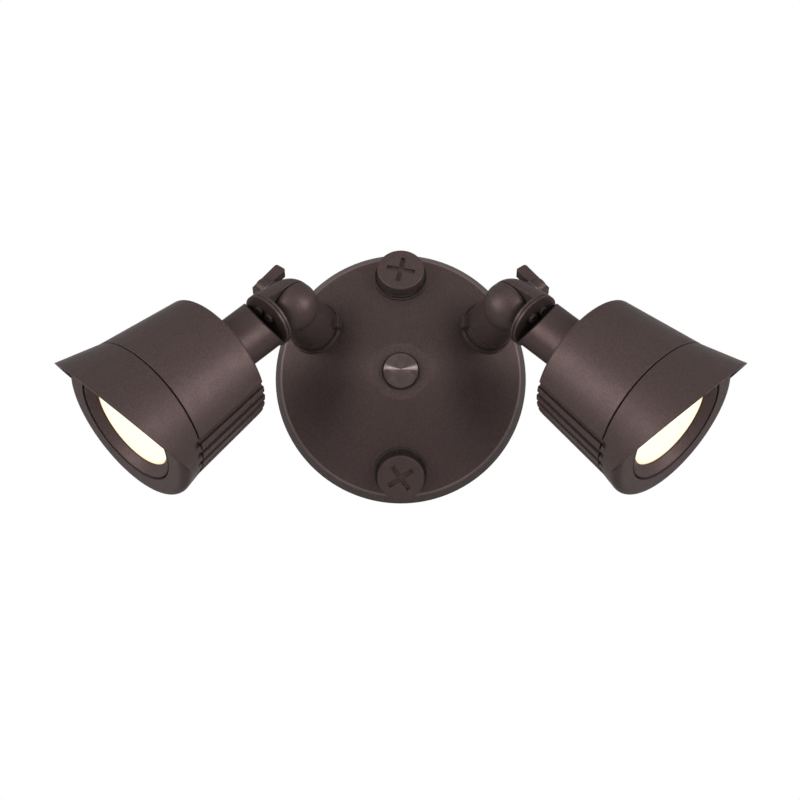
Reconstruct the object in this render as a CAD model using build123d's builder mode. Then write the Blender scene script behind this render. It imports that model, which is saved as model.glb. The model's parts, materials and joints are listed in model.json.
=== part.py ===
"""Double flood light: a round wall canopy that carries two hooded lamps on knuckle joints.

Millimetres. The wall is the plane y = 0, +Z is up and the light faces -Y. Each lamp turns in a port of the
canopy (pan), tilts at its knuckle and is held by a lever nut. The right lamp is drawn, the left one mirrors it.
"""

import os
from math import atan, cos, radians, sin

from build123d import *

# canopy, a shallow cone that covers a four inch box
SKIRT_FRONT_R = 63.5
SKIRT_FLARE = 3.0
SKIRT_DEPTH = 9.0
CANOPY_DEPTH = 30.0
NOSE_R = 15.0
CANOPY_WALL = 3.0
SKIRT_EDGE = 1.2

# ports of the canopy, two for the knuckles and two for the plugs
PORT_INSET = 12.0
KNUCKLE_PORT_ANGLE = 29.0
PLUG_ANGLES = {"top": 90.0, "bottom": 270.0}
BOSS_R = 14.1
BOSS_HEIGHT = 1.5
HUB_DEPTH = 6.5
PIPE_R = 10.4
PIPE_REACH = 7.0
SEAL_R = 13.5
SEAL_THICK = 1.2

# wall side
WALL_GASKET_THICK = 2.5
WALL_GASKET_WIDTH = 6.0
RIM_GAP = 0.5
RIM_WALL = 2.9
LEDGE_WIDTH = 3.4
STRAP_END_GAP = 3.2
STRAP_WIDTH = 20.0
STRAP_THICK = 2.5
BOX_SCREW_SPACING = 88.9
BOX_SLOT_LENGTH = 12.0
BOX_SLOT_WIDTH = 5.2
GROUND_SCREW_X = 22.0
STUD_R = 3.0
CAP_R = 9.0
CAP_SKIRT = 1.6
CAP_POINT = 4.4

# plugs
PLUG_HEAD_R = 12.3
PLUG_HEAD_HEIGHT = 6.0
PLUG_SLOT_LENGTH = 15.0
PLUG_SLOT_WIDTH = 2.4
PLUG_SLOT_DEPTH = 1.5
PLUG_TURNS = {"top": -12.0, "bottom": 35.0}

# aim of the right lamp at rest
HINGE_STANDOFF = 36.0
AIM_TURN = -81.8
AIM_TILT = 61.2
TILT_MIDDLE = 39.0

# knuckle
LOCKNUT_R = 13.0
LOCKNUT_HEIGHT = 5.0
LOCKNUT_LUG_WIDTH = 6.6
LOCKNUT_LUG_R = 16.0
BALL_R = 13.1
BALL_SETBACK = 1.5
BALL_LEAN = 2.0
STEM_R = 12.6
PART_GAP = 0.4
FLANGE_R = 14.8
FLANGE_THICK = 1.4
FLANGE_BACK = 12.3
FLANGE_GASKET_THICK = 0.4
PAD_R = 6.5
PAD_FACE = 12.8
WASHER_THICK = 0.8
LEVER_HUB_R = 4.6
LEVER_HUB_HEIGHT = 6.8
LEVER_REACH = 15.3
LEVER_THICK = 4.8
STUD_END = 19.5
STUD_GRIP = 9.0

# neck
NECK_R = 13.8
NOTCH_TURN = 18.0
NOTCH_LOW = -2.6
NOTCH_RISE = 7.45 / 13.0
FLANGE_SCREW_TOP = 5.7
FLANGE_SCREW_SIDE = 3.6
NECK_SEAL_THICK = 0.8
NECK_NUT_R = 12.0
NECK_NUT_HEIGHT = 4.0
SPIGOT_R = 8.0

# lamp housing, measured along the lamp's axis from the hinge
HOUSING_BACK = 49.5
HOUSING_FRONT = 96.3
HOUSING_BACK_R = 34.8
HOUSING_FRONT_R = 39.8
HOUSING_WALL = 6.0
HOUSING_BACK_WALL = 5.0
BACK_EDGE = 1.5
SHELF_BACK = 74.0
SHELF_THICK = 4.0
SOCKET_WALL = 5.8
SOCKET_DEPTH = 8.0
GROOVE_COUNT = 21
GROOVE_ARC = 202.0
GROOVE_WIDTH = 3.6
GROOVE_DEPTH = 2.2
GROOVE_RUNOUT = 4.0

# bezel and hood
SEAM_GAP = 0.8
BEZEL_DEPTH = 14.0
BEZEL_FLARE = 0.22
BEZEL_ROUND = 4.0
LENS_OPENING_R = 31.2
LENS_SEAT_R = 27.5
LENS_SEAT_DEPTH = 8.3
SPIGOT_LENGTH = 6.0
HOOD_REACH = 33.0
HOOD_SLOPE = 0.45
HOOD_WALL = 2.6
LENS_R = 30.6
LENS_THICK = 3.5
LENS_RING_R = 30.4
LENS_CLEAR_R = 25.2

# light engine
BOARD_R = 24.0
BOARD_THICK = 1.6
CHIP_R = 8.0
CHIP_THICK = 1.2
REFLECTOR_BACK_R = 9.0
REFLECTOR_WALL = 1.2
BOARD_SCREW_OFFSET = 19.0
DRIVER_SIZE = (40.0, 30.0, 14.0)

# clearances, radial or face to face
RUNNING_FIT = 0.07
THREAD_FIT = 0.05
FACE_FIT = 0.05

CANOPY_R = SKIRT_FRONT_R + SKIRT_FLARE
PORT_RADIUS = SKIRT_FRONT_R - PORT_INSET
GASKET_R = CANOPY_R - RIM_WALL - 0.4
STRAP_LENGTH = 2 * (GASKET_R - WALL_GASKET_WIDTH - STRAP_END_GAP)
SOCKET_R = HOUSING_FRONT_R - SOCKET_WALL
CONE_SLOPE = (CANOPY_DEPTH - SKIRT_DEPTH) / (SKIRT_FRONT_R - NOSE_R)
CONE_TILT = atan(CONE_SLOPE)
NECK_FLANGE_BACK = FLANGE_BACK + FLANGE_THICK + FLANGE_GASKET_THICK
NECK_FLANGE_FRONT = NECK_FLANGE_BACK + FLANGE_THICK
HOUSING_FLARE = (HOUSING_FRONT_R - HOUSING_BACK_R) / (HOUSING_FRONT - HOUSING_BACK)
BEZEL_BACK = HOUSING_FRONT + SEAM_GAP
BEZEL_FRONT = BEZEL_BACK + BEZEL_DEPTH
LENS_SEAT = BEZEL_FRONT - LENS_SEAT_DEPTH
SHELF_FRONT = SHELF_BACK + SHELF_THICK
BOARD_FRONT = SHELF_FRONT + BOARD_THICK
COLLAR_BASE = BOSS_HEIGHT + SEAL_THICK + LOCKNUT_HEIGHT
COLLAR_TOP = HINGE_STANDOFF - BALL_R - BALL_SETBACK - 2 * PART_GAP

os.makedirs("parts", exist_ok=True)


def port_plane(angle):
    """Plane on the cone at a port: x outward from the canopy's centre, y around it, z out of the canopy."""
    outward = Vector(cos(radians(angle)), 0, sin(radians(angle)))
    depth = SKIRT_DEPTH + (SKIRT_FRONT_R - PORT_RADIUS) * CONE_SLOPE
    front = Vector(0, -1, 0)
    return Plane(
        origin=outward * PORT_RADIUS + front * depth,
        x_dir=outward * cos(CONE_TILT) - front * sin(CONE_TILT),
        z_dir=outward * sin(CONE_TILT) + front * cos(CONE_TILT),
    )


def save(piece, name):
    """Label a finished piece and write its file."""
    piece.label = name
    export_step(piece, f"parts/{name}.step")


def ring(plane, low, high, outer, inner):
    """Flat round ring between two heights over a plane."""
    with BuildPart() as piece:
        with BuildSketch(plane.offset(low)):
            Circle(outer)
            Circle(inner, mode=Mode.SUBTRACT)
        extrude(amount=high - low)
    return piece.part


def screw(plane, spots, seat, head_r, head_height, shank_r, shank_length, key):
    """Group of equal socket screws that stand on a plane."""
    with BuildPart() as piece:
        for x, y in spots:
            spot = Plane(plane.from_local_coords((x, y, seat)), x_dir=plane.x_dir, z_dir=plane.z_dir)
            with BuildSketch(spot.offset(-shank_length)):
                Circle(shank_r)
            extrude(amount=shank_length)
            with BuildSketch(spot):
                Circle(head_r)
            extrude(amount=head_height)
            with BuildSketch(spot.offset(head_height)):
                RegularPolygon(key / 2, 6, major_radius=False)
            extrude(amount=-head_height * 0.6, mode=Mode.SUBTRACT)
    return piece.part


# planes of the right lamp
PORT = port_plane(KNUCKLE_PORT_ANGLE)
HINGE = PORT.from_local_coords((0, 0, HINGE_STANDOFF))
OUT = PORT.z_dir
LEAN = PORT.x_dir * cos(radians(AIM_TURN)) + PORT.y_dir * sin(radians(AIM_TURN))
AIM = OUT * cos(radians(AIM_TILT)) + LEAN * sin(radians(AIM_TILT))
TOP = OUT * sin(radians(AIM_TILT)) - LEAN * cos(radians(AIM_TILT))
NEAR = AIM.cross(TOP)
STEM = Plane(origin=HINGE, x_dir=LEAN * -1, z_dir=OUT)
HEAD = Plane(origin=HINGE, x_dir=NEAR * -1, z_dir=AIM)
SECTION = Plane(origin=HINGE, x_dir=TOP, z_dir=NEAR * -1)
PIVOT = Plane(origin=HINGE, x_dir=AIM, z_dir=NEAR)
LAMP_AXIS = Axis(HINGE, AIM)
BALL_SHIFT = (OUT * cos(radians(TILT_MIDDLE)) + LEAN * sin(radians(TILT_MIDDLE))) * -BALL_SETBACK

# canopy
with BuildPart() as canopy:
    axial_wall = CANOPY_WALL / cos(CONE_TILT)
    rebate_r = CANOPY_R - RIM_WALL
    inner_r = rebate_r - LEDGE_WIDTH
    inner_y = -SKIRT_DEPTH - (SKIRT_FRONT_R - inner_r) * CONE_SLOPE + axial_wall
    with BuildSketch(Plane.XY):
        with BuildLine():
            Polyline(
                (0, -CANOPY_DEPTH),
                (NOSE_R, -CANOPY_DEPTH),
                (SKIRT_FRONT_R, -SKIRT_DEPTH),
                (CANOPY_R, -RIM_GAP),
                (rebate_r, -RIM_GAP),
                (rebate_r, -WALL_GASKET_THICK),
                (inner_r, -WALL_GASKET_THICK),
                (inner_r, inner_y),
                (NOSE_R, -CANOPY_DEPTH + axial_wall),
                (0, -CANOPY_DEPTH + axial_wall),
                close=True,
            )
        make_face()
    revolve(axis=Axis.Y)
    skirt_edges = canopy.edges().filter_by(GeomType.CIRCLE)
    fillet(skirt_edges.filter_by(lambda e: abs(e.radius - SKIRT_FRONT_R) < 0.01), SKIRT_EDGE)
    ports = [port_plane(a) for a in (KNUCKLE_PORT_ANGLE, 180 - KNUCKLE_PORT_ANGLE, *PLUG_ANGLES.values())]
    for port in ports:
        with BuildSketch(port.offset(-HUB_DEPTH)):
            Circle(BOSS_R)
        extrude(amount=HUB_DEPTH + BOSS_HEIGHT)
    for port in ports:
        with BuildSketch(port.offset(-2 * HUB_DEPTH)):
            Circle(PIPE_R + RUNNING_FIT)
        extrude(amount=4 * HUB_DEPTH, mode=Mode.SUBTRACT)
    with BuildSketch(Plane.XZ):
        Circle(STUD_R + 0.4)
    extrude(amount=2 * CANOPY_DEPTH, mode=Mode.SUBTRACT)
save(canopy.part, "canopy")

# wall side, with heights counted from the wall towards the front
FRONTWARD = Plane.XZ
STRAP_FRONT = STRAP_THICK
CAP_SEAT = CANOPY_DEPTH + SEAL_THICK

wall_gasket = ring(FRONTWARD, 0, WALL_GASKET_THICK, GASKET_R, GASKET_R - WALL_GASKET_WIDTH)
save(wall_gasket, "wall_gasket")

with BuildPart() as mounting_strap:
    with BuildSketch(FRONTWARD):
        SlotOverall(STRAP_LENGTH, STRAP_WIDTH)
        with Locations((-BOX_SCREW_SPACING / 2, 0), (BOX_SCREW_SPACING / 2, 0)):
            SlotOverall(BOX_SLOT_LENGTH, BOX_SLOT_WIDTH, mode=Mode.SUBTRACT)
        Circle(STUD_R + THREAD_FIT, mode=Mode.SUBTRACT)
        with Locations((GROUND_SCREW_X, 0)):
            Circle(2.0 + THREAD_FIT, mode=Mode.SUBTRACT)
    extrude(amount=STRAP_THICK)
save(mounting_strap.part, "mounting_strap")

with BuildPart() as centre_stud:
    with BuildSketch(FRONTWARD):
        Circle(STUD_R)
    extrude(amount=CAP_SEAT + CAP_SKIRT + 2.0)
save(centre_stud.part, "centre_stud")

with BuildPart() as stud_nut:
    with BuildSketch(FRONTWARD.offset(STRAP_FRONT)):
        RegularPolygon(5.0, 6, major_radius=False)
        Circle(STUD_R + THREAD_FIT, mode=Mode.SUBTRACT)
    extrude(amount=5.0)
save(stud_nut.part, "stud_nut")

ground_screw = screw(FRONTWARD, [(GROUND_SCREW_X, 0)], STRAP_FRONT, 4.0, 2.6, 2.0, STRAP_THICK, 3.0)
save(ground_screw, "ground_screw")

cap_seal = ring(FRONTWARD, CANOPY_DEPTH, CAP_SEAT, CAP_R + 0.8, STUD_R + 0.4)
save(cap_seal, "cap_seal")

with BuildPart() as cap_nut:
    with BuildSketch(Plane.XY):
        with BuildLine():
            Polyline(
                (0, -CAP_SEAT),
                (CAP_R, -CAP_SEAT),
                (CAP_R, -CAP_SEAT - CAP_SKIRT),
                (0.7, -CAP_SEAT - CAP_SKIRT - CAP_POINT),
                (0, -CAP_SEAT - CAP_SKIRT - CAP_POINT),
                close=True,
            )
        make_face()
    revolve(axis=Axis.Y)
    with BuildSketch(FRONTWARD.offset(CAP_SEAT)):
        Circle(STUD_R + THREAD_FIT)
    extrude(amount=CAP_SKIRT + 2.2, mode=Mode.SUBTRACT)
save(cap_nut.part, "cap_nut")

# plugs of the unused ports
for place, angle in PLUG_ANGLES.items():
    seat = port_plane(angle)
    save(ring(seat, BOSS_HEIGHT, BOSS_HEIGHT + SEAL_THICK, SEAL_R, PIPE_R + 0.4), f"{place}_plug_seal")
    with BuildPart() as plug:
        with BuildSketch(seat.offset(-PIPE_REACH)):
            Circle(PIPE_R)
        extrude(amount=PIPE_REACH + BOSS_HEIGHT + SEAL_THICK)
        with BuildSketch(seat.offset(BOSS_HEIGHT + SEAL_THICK)):
            Circle(PLUG_HEAD_R)
        extrude(amount=PLUG_HEAD_HEIGHT)
        fillet(plug.faces().sort_by(Axis(seat.origin, seat.z_dir))[-1].edges(), 0.8)
        with BuildSketch(seat.offset(BOSS_HEIGHT + SEAL_THICK + PLUG_HEAD_HEIGHT)):
            for turn in (0, 90):
                Rectangle(PLUG_SLOT_LENGTH, PLUG_SLOT_WIDTH, rotation=PLUG_TURNS[place] + turn)
        extrude(amount=-PLUG_SLOT_DEPTH, mode=Mode.SUBTRACT)
    save(plug.part, f"{place}_plug")

# pieces of the right lamp, by name
lamp = {}

# foot of the knuckle
lamp["port_seal"] = ring(PORT, BOSS_HEIGHT, BOSS_HEIGHT + SEAL_THICK - FACE_FIT, SEAL_R, PIPE_R + 0.4)

with BuildPart() as locknut:
    with BuildSketch(PORT.offset(BOSS_HEIGHT + SEAL_THICK)):
        Circle(LOCKNUT_R)
        lug_angle = 180 - KNUCKLE_PORT_ANGLE
        with PolarLocations(LOCKNUT_LUG_R / 2, 1, start_angle=lug_angle):
            Rectangle(LOCKNUT_LUG_R, LOCKNUT_LUG_WIDTH)
        Circle(PIPE_R + THREAD_FIT, mode=Mode.SUBTRACT)
    extrude(amount=LOCKNUT_HEIGHT)
lamp["locknut"] = locknut.part

# base half: a threaded pipe end, a round stem and half of a ball that leans to the near side
with BuildPart() as base_knuckle:
    with BuildSketch(PORT.offset(-PIPE_REACH)):
        Circle(PIPE_R)
    extrude(amount=PIPE_REACH + COLLAR_BASE)
    with BuildSketch(PORT.offset(COLLAR_BASE)):
        Circle(STEM_R)
    extrude(amount=HINGE_STANDOFF - COLLAR_BASE)
    ball_centre = HINGE + BALL_SHIFT + NEAR * BALL_LEAN
    with BuildSketch(Plane(ball_centre, x_dir=OUT, z_dir=LEAN)):
        Circle(BALL_R)
        Rectangle(4 * BALL_R, 2 * BALL_R, align=(Align.CENTER, Align.MAX), mode=Mode.SUBTRACT)
    revolve(axis=Axis(ball_centre, OUT))
    with BuildSketch(STEM.offset(COLLAR_TOP - HINGE_STANDOFF)):
        with Locations((0, PART_GAP)):
            Rectangle(60, 60, align=(Align.CENTER, Align.MAX))
    extrude(amount=60, mode=Mode.SUBTRACT)
    with BuildSketch(PIVOT):
        Circle(STUD_R + THREAD_FIT)
    extrude(amount=STUD_GRIP, mode=Mode.SUBTRACT)
lamp["base_knuckle"] = base_knuckle.part

with BuildPart() as hinge_stud:
    with BuildSketch(PIVOT.offset(-STUD_END)):
        Circle(STUD_R)
    extrude(amount=STUD_END + STUD_GRIP)
lamp["hinge_stud"] = hinge_stud.part

lamp["friction_washer"] = ring(PIVOT, FACE_FIT - PART_GAP, PART_GAP, 10.5, STUD_R + 0.4)

# arm half: the far half of the ball, drawn out into a round flange
with BuildPart() as arm_knuckle:
    arm_ball = HINGE + BALL_SHIFT
    with BuildSketch(Plane(arm_ball, x_dir=NEAR * -1, z_dir=AIM)):
        Circle(BALL_R)
    with BuildSketch(HEAD.offset(FLANGE_BACK)):
        Circle(FLANGE_R)
    loft()
    with BuildSketch(Plane(arm_ball, x_dir=AIM, z_dir=NEAR)):
        Circle(BALL_R)
        Rectangle(4 * BALL_R, 2 * BALL_R, align=(Align.CENTER, Align.MAX), mode=Mode.SUBTRACT)
    revolve(axis=Axis(arm_ball, AIM))
    with BuildSketch(PIVOT.offset(-PAD_FACE)):
        Circle(PAD_R)
    extrude(amount=PAD_FACE / 2)
    with BuildSketch(PIVOT.offset(-PAD_FACE)):
        Circle(PAD_R + 0.4)
    extrude(amount=-PAD_FACE, mode=Mode.SUBTRACT)
    with BuildSketch(PIVOT.offset(-PART_GAP)):
        Rectangle(120, 120)
    extrude(amount=60, mode=Mode.SUBTRACT)
    with BuildSketch(HEAD.offset(FLANGE_BACK)):
        Circle(FLANGE_R)
    extrude(amount=FLANGE_THICK)
    with BuildSketch(HEAD.offset(FLANGE_BACK + FLANGE_THICK)):
        for side in (-FLANGE_SCREW_SIDE, FLANGE_SCREW_SIDE):
            with Locations((side, FLANGE_SCREW_TOP)):
                Circle(1.5 + THREAD_FIT)
    extrude(amount=-3 * FLANGE_THICK, mode=Mode.SUBTRACT)
    with BuildSketch(PIVOT.offset(-30)):
        Circle(STUD_R + RUNNING_FIT)
    extrude(amount=30, mode=Mode.SUBTRACT)
lamp["arm_knuckle"] = arm_knuckle.part

lamp["arm_gasket"] = ring(HEAD, FLANGE_BACK + FLANGE_THICK, NECK_FLANGE_BACK, FLANGE_R - 0.6, FLANGE_R - 4.5)
lamp["flange_screws"] = screw(
    HEAD,
    [(-FLANGE_SCREW_SIDE, FLANGE_SCREW_TOP), (FLANGE_SCREW_SIDE, FLANGE_SCREW_TOP)],
    NECK_FLANGE_FRONT,
    2.5,
    2.2,
    1.5,
    NECK_FLANGE_FRONT - FLANGE_BACK,
    2.5,
)
lamp["lever_washer"] = ring(PIVOT, -PAD_FACE - WASHER_THICK, -PAD_FACE, 6.0, STUD_R + 0.4)

# lever nut, with its one tab pointing back along the lamp at rest
with BuildPart() as lever_nut:
    hub_seat = PAD_FACE + WASHER_THICK + FACE_FIT
    with BuildSketch(PIVOT.offset(-hub_seat)):
        Circle(LEVER_HUB_R)
    extrude(amount=-LEVER_HUB_HEIGHT, taper=3)
    with BuildSketch(Plane(HINGE, x_dir=AIM, z_dir=TOP * -1)):
        with BuildLine():
            Polyline(
                (LEVER_HUB_R + 0.8, -hub_seat - 1.6),
                (-LEVER_REACH, -hub_seat - 3.4),
                (-LEVER_REACH + 0.6, -hub_seat - 9.9),
                (LEVER_HUB_R + 0.8, -hub_seat - 6.9),
                close=True,
            )
        make_face()
    extrude(amount=LEVER_THICK / 2, both=True)
    tips = lever_nut.edges().filter_by(Axis(HINGE, TOP)).group_by(LAMP_AXIS)
    fillet(tips[0] + tips[1], 1.4)
    with BuildSketch(PIVOT.offset(-2 * hub_seat)):
        Circle(STUD_R + RUNNING_FIT)
    extrude(amount=2 * hub_seat, mode=Mode.SUBTRACT)
lamp["lever_nut"] = lever_nut.part

# neck, with a slanted notch that leaves room for the flange screws
with BuildPart() as neck:
    notch_side = TOP * cos(radians(NOTCH_TURN)) + NEAR * sin(radians(NOTCH_TURN))
    neck_end = HOUSING_BACK - NECK_SEAL_THICK
    with BuildSketch(HEAD.offset(NECK_FLANGE_FRONT)):
        Circle(NECK_R)
    extrude(amount=neck_end - NECK_FLANGE_FRONT)
    with BuildSketch(Plane(HINGE, x_dir=notch_side, z_dir=notch_side.cross(AIM))):
        with BuildLine():
            Polyline(
                (NOTCH_LOW, NECK_FLANGE_FRONT),
                (2 * NECK_R, NECK_FLANGE_FRONT),
                (2 * NECK_R, NECK_FLANGE_FRONT + (2 * NECK_R - NOTCH_LOW) * NOTCH_RISE),
                close=True,
            )
        make_face()
    extrude(amount=2 * NECK_R, both=True, mode=Mode.SUBTRACT)
    with BuildSketch(HEAD.offset(NECK_FLANGE_BACK)):
        Circle(FLANGE_R)
        for side in (-FLANGE_SCREW_SIDE, FLANGE_SCREW_SIDE):
            with Locations((side, FLANGE_SCREW_TOP)):
                Circle(1.5 + 0.4, mode=Mode.SUBTRACT)
    extrude(amount=FLANGE_THICK)
    with BuildSketch(HEAD.offset(neck_end)):
        Circle(SPIGOT_R)
    extrude(amount=NECK_SEAL_THICK + HOUSING_BACK_WALL + 5.0)
lamp["neck"] = neck.part

lamp["neck_seal"] = ring(HEAD, neck_end, HOUSING_BACK, NECK_R - 0.6, SPIGOT_R + 0.4)

with BuildPart() as neck_nut:
    with BuildSketch(HEAD.offset(HOUSING_BACK + HOUSING_BACK_WALL)):
        RegularPolygon(NECK_NUT_R, 6, major_radius=False)
        Circle(SPIGOT_R + THREAD_FIT, mode=Mode.SUBTRACT)
    extrude(amount=NECK_NUT_HEIGHT)
lamp["neck_nut"] = neck_nut.part


def housing_r(along):
    """Outer radius of the housing at a distance along the lamp's axis."""
    return HOUSING_BACK_R + (along - HOUSING_BACK) * HOUSING_FLARE


# cutter for one rib groove, which runs past the seam and fades out in the bezel
with BuildPart() as groove:
    groove_start = HOUSING_BACK - 3
    groove_end = BEZEL_BACK + GROOVE_RUNOUT
    with BuildSketch(SECTION):
        with BuildLine():
            Polyline(
                (housing_r(groove_start) - GROOVE_DEPTH, groove_start),
                (housing_r(BEZEL_BACK) - GROOVE_DEPTH, BEZEL_BACK),
                (housing_r(groove_end) + 1, groove_end),
                (housing_r(groove_end) + 9, groove_end),
                (housing_r(groove_start) + 9, groove_start),
                close=True,
            )
        make_face()
    extrude(amount=GROOVE_WIDTH / 2, both=True)
groove_pitch = GROOVE_ARC / (GROOVE_COUNT - 1)
groove_turns = [180 - GROOVE_ARC / 2 + i * groove_pitch for i in range(GROOVE_COUNT)]
grooves = [groove.part.rotate(LAMP_AXIS, turn) for turn in groove_turns]

# housing, a flared cup with a shelf for the light engine and ribs on its lower half
with BuildPart() as housing:
    cavity_back = HOUSING_BACK + HOUSING_BACK_WALL
    socket_back = HOUSING_FRONT - SOCKET_DEPTH
    with BuildSketch(SECTION):
        with BuildLine():
            Polyline(
                (0, HOUSING_BACK),
                (HOUSING_BACK_R, HOUSING_BACK),
                (HOUSING_FRONT_R, HOUSING_FRONT),
                (SOCKET_R, HOUSING_FRONT),
                (SOCKET_R, socket_back),
                (housing_r(socket_back) - HOUSING_WALL, socket_back),
                (housing_r(SHELF_FRONT) - HOUSING_WALL, SHELF_FRONT),
                (0, SHELF_FRONT),
                close=True,
            )
        make_face()
        with BuildLine():
            Polyline(
                (0, cavity_back),
                (housing_r(cavity_back) - HOUSING_WALL, cavity_back),
                (housing_r(SHELF_BACK) - HOUSING_WALL, SHELF_BACK),
                (0, SHELF_BACK),
                close=True,
            )
        make_face(mode=Mode.SUBTRACT)
    revolve(axis=LAMP_AXIS)
    back_edges = housing.edges().filter_by(GeomType.CIRCLE)
    fillet(back_edges.filter_by(lambda e: abs(e.radius - HOUSING_BACK_R) < 0.01), BACK_EDGE)
    with BuildSketch(HEAD.offset(HOUSING_BACK)):
        Circle(SPIGOT_R + THREAD_FIT)
    extrude(amount=HOUSING_BACK_WALL, mode=Mode.SUBTRACT)
    with BuildSketch(HEAD.offset(SHELF_FRONT)):
        Circle(3.0)
        for side in (-BOARD_SCREW_OFFSET, BOARD_SCREW_OFFSET):
            with Locations((side, 0)):
                Circle(1.5 + THREAD_FIT)
    extrude(amount=-SHELF_THICK, mode=Mode.SUBTRACT)
    add(grooves, mode=Mode.SUBTRACT)
lamp["housing"] = housing.part

# light engine
with BuildPart() as driver:
    with BuildSketch(HEAD.offset(SHELF_BACK - DRIVER_SIZE[2])):
        RectangleRounded(DRIVER_SIZE[0], DRIVER_SIZE[1], 3.0)
    extrude(amount=DRIVER_SIZE[2])
lamp["driver"] = driver.part

with BuildPart() as led_board:
    with BuildSketch(HEAD.offset(SHELF_FRONT)):
        Circle(BOARD_R)
        for side in (-BOARD_SCREW_OFFSET, BOARD_SCREW_OFFSET):
            with Locations((side, 0)):
                Circle(1.5 + 0.4, mode=Mode.SUBTRACT)
    extrude(amount=BOARD_THICK)
lamp["led_board"] = led_board.part

lamp["board_screws"] = screw(
    HEAD,
    [(-BOARD_SCREW_OFFSET, 0), (BOARD_SCREW_OFFSET, 0)],
    BOARD_FRONT,
    2.6,
    2.0,
    1.5,
    BOARD_THICK + SHELF_THICK - 0.5,
    2.5,
)

with BuildPart() as led_chip:
    with BuildSketch(HEAD.offset(BOARD_FRONT)):
        Circle(CHIP_R)
    extrude(amount=CHIP_THICK)
lamp["led_chip"] = led_chip.part

with BuildPart() as reflector:
    reflector_front_r = LENS_SEAT_R - 0.4
    with BuildSketch(SECTION):
        with BuildLine():
            Polyline(
                (REFLECTOR_BACK_R, BOARD_FRONT),
                (REFLECTOR_BACK_R + REFLECTOR_WALL, BOARD_FRONT),
                (reflector_front_r, LENS_SEAT),
                (reflector_front_r - REFLECTOR_WALL, LENS_SEAT),
                close=True,
            )
        make_face()
    revolve(axis=LAMP_AXIS)
lamp["reflector"] = reflector.part

lamp["bezel_seal"] = ring(HEAD, HOUSING_FRONT, BEZEL_BACK, HOUSING_FRONT_R - 1.6, SOCKET_R + 0.2)


def bezel_r(along):
    """Outer radius of the bezel at a distance along the lamp's axis."""
    return housing_r(BEZEL_BACK) + (along - BEZEL_BACK) * BEZEL_FLARE


# bezel: a ring that plugs into the housing, and a hood cut off on a slant
with BuildPart() as bezel:
    with BuildSketch(SECTION):
        with BuildLine():
            Polyline(
                (LENS_SEAT_R, BEZEL_BACK - SPIGOT_LENGTH),
                (SOCKET_R - THREAD_FIT, BEZEL_BACK - SPIGOT_LENGTH),
                (SOCKET_R - THREAD_FIT, BEZEL_BACK),
                (bezel_r(BEZEL_BACK), BEZEL_BACK),
                (bezel_r(BEZEL_FRONT), BEZEL_FRONT),
                (LENS_OPENING_R, BEZEL_FRONT),
                (LENS_OPENING_R, LENS_SEAT),
                (LENS_SEAT_R, LENS_SEAT),
                close=True,
            )
        make_face()
    revolve(axis=LAMP_AXIS)
    rims = bezel.edges().filter_by(GeomType.CIRCLE)
    fillet(rims.filter_by(lambda e: abs(e.radius - bezel_r(BEZEL_FRONT)) < 0.01), BEZEL_ROUND)
    add(grooves, mode=Mode.SUBTRACT)

with BuildPart() as hood:
    hood_tip = HOUSING_FRONT + HOOD_REACH
    hood_root = BEZEL_BACK + GROOVE_RUNOUT + 0.5
    slant = [(r, hood_tip - (bezel_r(hood_tip) - r) * HOOD_SLOPE) for r in (90, -90)]
    with BuildSketch(SECTION):
        with BuildLine():
            Polyline(
                (bezel_r(hood_root) - HOOD_WALL, hood_root),
                (bezel_r(hood_root), hood_root),
                (bezel_r(hood_tip + 5), hood_tip + 5),
                (bezel_r(hood_tip + 5) - HOOD_WALL, hood_tip + 5),
                close=True,
            )
        make_face()
    revolve(axis=LAMP_AXIS)
    with BuildSketch(SECTION):
        with BuildLine():
            Polyline(*slant, (-90, hood_tip + 90), (90, hood_tip + 90), close=True)
        make_face()
    extrude(amount=90, both=True, mode=Mode.SUBTRACT)

with BuildPart() as hooded_bezel:
    add(bezel.part)
    add(hood.part)
lamp["bezel"] = hooded_bezel.part

with BuildPart() as lens:
    with BuildSketch(HEAD.offset(LENS_SEAT)):
        Circle(LENS_R)
    extrude(amount=LENS_THICK)
lamp["lens"] = lens.part

with BuildPart() as lens_ring:
    ring_back = LENS_SEAT + LENS_THICK
    with BuildSketch(SECTION):
        with BuildLine():
            Polyline(
                (LENS_CLEAR_R, ring_back),
                (LENS_RING_R, ring_back),
                (LENS_RING_R, BEZEL_FRONT - 0.6),
                (LENS_RING_R - 1.0, BEZEL_FRONT - 0.3),
                (LENS_CLEAR_R, ring_back + 0.8),
                close=True,
            )
        make_face()
    revolve(axis=LAMP_AXIS)
lamp["lens_ring"] = lens_ring.part

# the right lamp as drawn, and the left lamp as its mirror image
for name, right in lamp.items():
    with BuildPart() as left:
        add(mirror(right, about=Plane.YZ, mode=Mode.PRIVATE))
    save(right, f"right_{name}")
    save(left.part, f"left_{name}")
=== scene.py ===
"""Looks of the double flood light: the finish of every piece, the studio and the camera.

Metres, in the same frame as the solids: the wall is y = 0, +Z is up and the light faces -Y.
"""

import json
from math import radians

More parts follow.
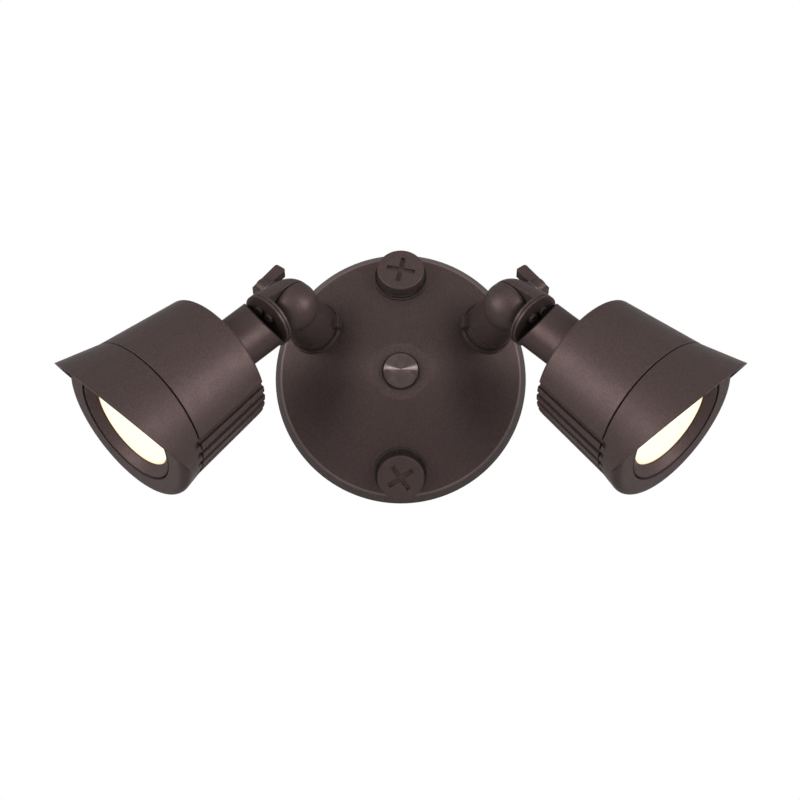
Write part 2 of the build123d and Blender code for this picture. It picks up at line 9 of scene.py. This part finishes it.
import bpy
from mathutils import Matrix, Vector


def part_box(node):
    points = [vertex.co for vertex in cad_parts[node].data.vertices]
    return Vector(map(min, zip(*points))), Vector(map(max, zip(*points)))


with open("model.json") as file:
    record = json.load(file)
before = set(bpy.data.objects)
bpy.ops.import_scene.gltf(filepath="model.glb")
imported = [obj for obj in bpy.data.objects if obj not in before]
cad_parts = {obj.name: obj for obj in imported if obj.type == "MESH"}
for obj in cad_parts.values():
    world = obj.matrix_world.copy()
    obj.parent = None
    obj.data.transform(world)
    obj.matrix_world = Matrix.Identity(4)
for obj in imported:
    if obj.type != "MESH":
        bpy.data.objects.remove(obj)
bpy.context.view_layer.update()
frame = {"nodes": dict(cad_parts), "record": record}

# painted highlight: a lighter line along the canopy's rim, standing in for light on its edge: its distance
# from the widest edge, and its reach
RIM_INSET = 0.0034
HIGHLIGHT_WIDTH = 0.0009

# distances from the middle of a lens between which its warm white goes over to orange
LENS_EDGE = (0.0238, 0.0258)

# floor: its middle, its size, and the distances from its middle between which it goes over to white
FLOOR_MIDDLE = (0, -0.1, -0.26)
FLOOR_SIZE = 8
FLOOR_FADE = (0.15, 0.5)

# soft lamps: place, size and watts. They face the middle of the light
LAMPS = {
    "key": ((0.0, -0.85, 0.75), 0.8, 1.0),
    "front": ((0.0, -1.35, 0.22), 0.6, 1.2),
    "left": ((-0.95, -0.75, 0.0), 1.0, 28.0),
    "right": ((0.95, -0.75, 0.0), 1.0, 28.0),
    "low": ((0.0, -0.95, -0.55), 0.6, 0.6),
}
LIGHT_MIDDLE = Vector((0, -0.05, 0))
AMBIENT = 0.25

# camera below the light, looking up a little. Lens and sensor are in millimetres, the rise in degrees
CAMERA_PLACE = (-0.0004, -1.0919, -0.1443)
CAMERA_RISE = 6.94
CAMERA_LENS = 93.2
CAMERA_SENSOR = 36.0

WHITE = (1, 1, 1, 1)


class Finish:
    """A node material that is put together layer by layer. Sizes are in metres."""

    def __init__(self, name, metallic=0.0, specular=0.5):
        self.material = bpy.data.materials.new(name)
        self.material.use_nodes = True
        self.tree = self.material.node_tree
        self.shader = self.tree.nodes["Principled BSDF"]
        self.shader.inputs["Metallic"].default_value = metallic
        self.shader.inputs["Specular IOR Level"].default_value = specular
        self.place = self.tree.nodes.new("ShaderNodeTexCoord").outputs["Object"]

    def link(self, source, target):
        self.tree.links.new(source, target)

    def maths(self, kind, operation, first, second=None):
        """Node of a kind that works on a socket, and on a second one or a constant."""
        node = self.tree.nodes.new(kind)
        node.operation = operation
        self.link(first, node.inputs[0])
        if isinstance(second, bpy.types.NodeSocket):
            self.link(second, node.inputs[1])
        elif second is not None:
            node.inputs[1].default_value = second
        return node

    def noise(self, size, detail=3.0, stretch=(1, 1, 1)):
        """Soft random pattern with features of a size, drawn out along the axes by stretch."""
        mapping = self.tree.nodes.new("ShaderNodeMapping")
        mapping.inputs["Scale"].default_value = [1 / (size * s) for s in stretch]
        self.link(self.place, mapping.inputs["Vector"])
        noise = self.tree.nodes.new("ShaderNodeTexNoise")
        noise.inputs["Scale"].default_value = 1.0
        noise.inputs["Detail"].default_value = detail
        self.link(mapping.outputs["Vector"], noise.inputs["Vector"])
        return noise.outputs["Fac"]

    def cells(self, size):
        """Pattern of closed cells, low at the middle of each and high at its walls."""
        cells = self.tree.nodes.new("ShaderNodeTexVoronoi")
        cells.inputs["Scale"].default_value = 1 / size
        self.link(self.place, cells.inputs["Vector"])
        return cells.outputs["Distance"]

    def distance(self, point):
        """Distance from a point of the part at rest."""
        return self.maths("ShaderNodeVectorMath", "DISTANCE", self.place, point).outputs["Value"]

    def off_ring(self, radius):
        """Distance from a circle of a radius round the light's own axis, which runs along Y."""
        flat = self.maths("ShaderNodeVectorMath", "MULTIPLY", self.place, (1, 0, 1))
        reach = self.maths("ShaderNodeVectorMath", "LENGTH", flat.outputs["Vector"])
        apart = self.maths("ShaderNodeMath", "SUBTRACT", reach.outputs["Value"], radius)
        return self.maths("ShaderNodeMath", "ABSOLUTE", apart.outputs["Value"]).outputs["Value"]

    def span(self, pattern, at, to=(0.0, 1.0), smooth=False):
        """Values between the two of to, as the pattern goes between the two of at."""
        spread = self.tree.nodes.new("ShaderNodeMapRange")
        if smooth:
            spread.interpolation_type = "SMOOTHSTEP"
        spread.inputs["From Min"].default_value, spread.inputs["From Max"].default_value = at
        spread.inputs["To Min"].default_value, spread.inputs["To Max"].default_value = to
        self.link(pattern, spread.inputs["Value"])
        return spread.outputs["Result"]

    def mix(self, factor, low, high):
        """Colour between low and high, each a plain colour or a socket."""
        mix = self.tree.nodes.new("ShaderNodeMix")
        mix.data_type = "RGBA"
        self.link(factor, mix.inputs["Factor"])
        for name, colour in (("A", low), ("B", high)):
            if isinstance(colour, bpy.types.NodeSocket):
                self.link(colour, mix.inputs[name])
            else:
                mix.inputs[name].default_value = (*colour, 1)
        return mix.outputs["Result"]

    def colour(self, pattern, low, high):
        self.link(self.mix(self.span(pattern, at=(0.35, 0.65)), low, high), self.shader.inputs["Base Color"])
        return self

    def paint_highlight_line(self, pattern, width, highlight):
        """Painted highlight along a line, where the coat's colour goes over to a lighter one."""
        socket = self.shader.inputs["Base Color"]
        coat = socket.links[0].from_socket
        off_line = self.span(pattern, at=(width / 4, width), smooth=True)
        self.link(self.mix(off_line, highlight, coat), socket)
        return self

    def roughness(self, pattern, low, high):
        self.link(self.span(pattern, at=(0.3, 0.7), to=(low, high)), self.shader.inputs["Roughness"])
        return self

    def relief(self, edge, *layers):
        """Rounded edges, with layers of (pattern, depth) laid over each other."""
        bevel = self.tree.nodes.new("ShaderNodeBevel")
        bevel.samples = 4
        bevel.inputs["Radius"].default_value = edge
        normal = bevel.outputs["Normal"]
        for pattern, depth in layers:
            bump = self.tree.nodes.new("ShaderNodeBump")
            bump.inputs["Strength"].default_value = 1.0
            bump.inputs["Distance"].default_value = depth
            self.link(pattern, bump.inputs["Height"])
            self.link(normal, bump.inputs["Normal"])
            normal = bump.outputs["Normal"]
        self.link(normal, self.shader.inputs["Normal"])
        return self


def bronze(name, rim=None):
    """Dark bronze powder coat: a fine even grain over slightly wavy cast metal, with a painted highlight
    line at a rim's radius.
    """
    coat = Finish(name, metallic=0.42, specular=0.18)
    coat.shader.inputs["Specular Tint"].default_value = (0.25, 0.18, 0.17, 1)
    grain = coat.noise(0.0005, detail=4.0)
    waves = coat.noise(0.016, detail=2.0)
    coat.colour(coat.noise(0.0008, detail=4.0), (0.038, 0.0264, 0.0251), (0.051, 0.0362, 0.0348))
    coat.roughness(coat.noise(0.009), 0.41, 0.49)
    if rim:
        # painted highlight: a lighter line on the coat along the rim
        coat.paint_highlight_line(coat.off_ring(rim), HIGHLIGHT_WIDTH, (0.100, 0.074, 0.070))
    return coat.relief(0.0008, (waves, 0.00008), (grain, 0.00002)).material


def smooth_bronze():
    """Gloss enamel of the turned cap, in the colour of the coat."""
    enamel = Finish("smooth_bronze", metallic=0.6)
    enamel.colour(enamel.noise(0.004), (0.050, 0.034, 0.032), (0.066, 0.047, 0.044))
    enamel.roughness(enamel.noise(0.003), 0.16, 0.24)
    return enamel.relief(0.0003, (enamel.noise(0.0005), 0.000008)).material


def plated(name, low, high):
    """Plated or blackened steel with faint drawing lines."""
    steel = Finish(name, metallic=1.0)
    lines = steel.noise(0.0004, stretch=(14, 1, 1))
    steel.colour(steel.noise(0.0012, detail=5.0), low, high)
    steel.roughness(lines, 0.26, 0.42)
    return steel.relief(0.0002, (lines, 0.000015)).material


def rubber():
    """Matte black sealing rubber with a dusty, fine grain."""
    seal = Finish("rubber", specular=0.12)
    seal.shader.inputs["Specular Tint"].default_value = (0.80, 0.62, 0.58, 1)
    seal.colour(seal.noise(0.002), (0.010, 0.008, 0.008), (0.020, 0.016, 0.016))
    seal.roughness(seal.noise(0.001), 0.65, 0.85)
    return seal.relief(0.0002, (seal.noise(0.0003), 0.00002)).material


def foam():
    """Closed-cell foam of the wall gasket."""
    sheet = Finish("foam", specular=0.2)
    cells = sheet.cells(0.0009)
    sheet.colour(cells, (0.020, 0.020, 0.021), (0.055, 0.055, 0.056))
    sheet.roughness(sheet.noise(0.002), 0.85, 0.95)
    return sheet.relief(0.0004, (cells, 0.0002)).material


def potting():
    """Cast grey compound around the driver, with small pits."""
    block = Finish("potting")
    block.colour(block.noise(0.004), (0.07, 0.07, 0.078), (0.13, 0.13, 0.14))
    block.roughness(block.noise(0.002), 0.45, 0.65)
    return block.relief(0.0004, (block.cells(0.0025), 0.0001)).material


def board():
    """White solder mask on an aluminium board."""
    mask = Finish("board")
    mask.colour(mask.noise(0.003), (0.74, 0.74, 0.71), (0.84, 0.84, 0.82))
    mask.roughness(mask.noise(0.001), 0.32, 0.45)
    return mask.relief(0.0001, (mask.noise(0.0005), 0.00001)).material


def phosphor():
    """Yellow phosphor gel over the chip."""
    gel = Finish("phosphor")
    gel.colour(gel.noise(0.0006), (0.82, 0.55, 0.10), (0.92, 0.70, 0.18))
    gel.roughness(gel.noise(0.001), 0.30, 0.45)
    return gel.relief(0.0002, (gel.noise(0.0004), 0.00003)).material


def reflector():
    """Bright anodised cup, a little uneven from spinning."""
    cup = Finish("reflector", metallic=1.0)
    cup.colour(cup.noise(0.004), (0.80, 0.80, 0.81), (0.90, 0.90, 0.91))
    cup.roughness(cup.noise(0.002), 0.12, 0.22)
    return cup.relief(0.0002, (cup.noise(0.003), 0.00003)).material


def lens(node):
    """Frosted lens lit from behind: warm white, and orange in a thin line at its edge."""
    glass = Finish("lens", specular=0.3)
    low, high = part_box(node)
    edge = glass.span(glass.distance((low + high) / 2), at=LENS_EDGE)
    glass.link(glass.mix(edge, (1.0, 0.93, 0.70), (1.0, 0.45, 0.10)), glass.shader.inputs["Emission Color"])
    glass.shader.inputs["Emission Strength"].default_value = 0.9
    glass.colour(glass.noise(0.002), (0.16, 0.155, 0.12), (0.20, 0.195, 0.16))
    glass.roughness(glass.noise(0.001), 0.40, 0.55)
    return glass.relief(0.0002, (glass.noise(0.0006), 0.00004)).material


# finishes by material slot, and by node where a piece has one of its own
finishes = {
    "bronze": bronze("bronze"),
    "canopy": bronze("canopy_bronze", rim=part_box("canopy")[1].x - RIM_INSET),
    "smooth_bronze": smooth_bronze(),
    "steel": plated("steel", (0.40, 0.40, 0.41), (0.47, 0.47, 0.48)),
    "dark_steel": plated("dark_steel", (0.06, 0.055, 0.055), (0.12, 0.11, 0.11)),
    "green_screw": plated("green_screw", (0.05, 0.22, 0.08), (0.09, 0.33, 0.13)),
    "rubber": rubber(),
    "foam": foam(),
    "potting": potting(),
    "board": board(),
    "phosphor": phosphor(),
    "reflector": reflector(),
    "left_lens": lens("left_lens"),
    "right_lens": lens("right_lens"),
}
for subpart in frame["record"]["subparts"]:
    node = subpart["node"]
    mesh = frame["nodes"][node].data
    mesh.materials.clear()
    mesh.materials.append(finishes.get(node) or finishes[subpart["material_slot"]])


def seen_rays(tree):
    """Socket that is 1 for camera, gloss and glass rays, and 0 for light that falls on the part."""
    path = tree.nodes.new("ShaderNodeLightPath")
    seen = path.outputs["Is Camera Ray"]
    for ray in ("Is Glossy Ray", "Is Transmission Ray"):
        either = tree.nodes.new("ShaderNodeMath")
        either.operation = "MAXIMUM"
        tree.links.new(seen, either.inputs[0])
        tree.links.new(path.outputs[ray], either.inputs[1])
        seen = either.outputs["Value"]
    return seen


def mix_shaders(tree, factor, first, second, output):
    """Goes over from the first shader to the second, as the factor rises, into the output node's surface."""
    mix = tree.nodes.new("ShaderNodeMixShader")
    tree.links.new(factor, mix.inputs["Fac"])
    tree.links.new(first, mix.inputs[1])
    tree.links.new(second, mix.inputs[2])
    tree.links.new(mix.outputs["Shader"], tree.nodes[output].inputs["Surface"])


def floor():
    """Plain pale floor that takes the shadow near the light and runs out into the white backdrop."""
    bpy.ops.mesh.primitive_plane_add(size=FLOOR_SIZE, location=FLOOR_MIDDLE)
    plate = bpy.context.object
    plate.name = "floor"
    pale = Finish("floor", specular=0.2)
    pale.colour(pale.noise(0.05), (0.80, 0.80, 0.80), (0.82, 0.82, 0.82))
    pale.roughness(pale.noise(0.02), 0.75, 0.85)
    fade = pale.span(pale.distance((0, 0, 0)), at=FLOOR_FADE, smooth=True)
    faded = pale.maths("ShaderNodeMath", "MULTIPLY", fade, seen_rays(pale.tree))
    glow = pale.tree.nodes.new("ShaderNodeEmission")
    glow.inputs["Color"].default_value = WHITE
    glow.inputs["Strength"].default_value = 1.0
    plain, white = pale.shader.outputs["BSDF"], glow.outputs["Emission"]
    mix_shaders(pale.tree, faded.outputs["Value"], plain, white, "Material Output")
    plate.data.materials.append(pale.material)


def backdrop():
    """World that the camera and the gloss see as white, and that lights the rest softly."""
    world = bpy.data.worlds.new("backdrop")
    bpy.context.scene.world = world
    world.use_nodes = True
    tree = world.node_tree
    fill = tree.nodes["Background"]
    white = tree.nodes.new("ShaderNodeBackground")
    for background, strength in ((fill, AMBIENT), (white, 1.0)):
        background.inputs["Color"].default_value = WHITE
        background.inputs["Strength"].default_value = strength
    fill, white = fill.outputs["Background"], white.outputs["Background"]
    mix_shaders(tree, seen_rays(tree), fill, white, "World Output")


def softbox(name, place, size, watts):
    """Square lamp that faces the middle of the light."""
    lamp = bpy.data.lights.new(name, "AREA")
    lamp.size = size
    lamp.energy = watts
    box = bpy.data.objects.new(name, lamp)
    box.location = place
    box.rotation_euler = (LIGHT_MIDDLE - Vector(place)).to_track_quat("-Z", "Y").to_euler()
    bpy.context.scene.collection.objects.link(box)


def photo_camera():
    """Camera at the photograph's viewing angle."""
    camera = bpy.data.objects.new("camera", bpy.data.cameras.new("camera"))
    camera.data.lens = CAMERA_LENS
    camera.data.sensor_width = CAMERA_SENSOR
    camera.location = CAMERA_PLACE
    camera.rotation_euler = (radians(90 + CAMERA_RISE), 0, 0)
    bpy.context.scene.collection.objects.link(camera)
    bpy.context.scene.camera = camera


floor()
backdrop()
for name, (place, size, watts) in LAMPS.items():
    softbox(name, place, size, watts)
photo_camera()
bpy.context.scene.view_settings.view_transform = "Standard"
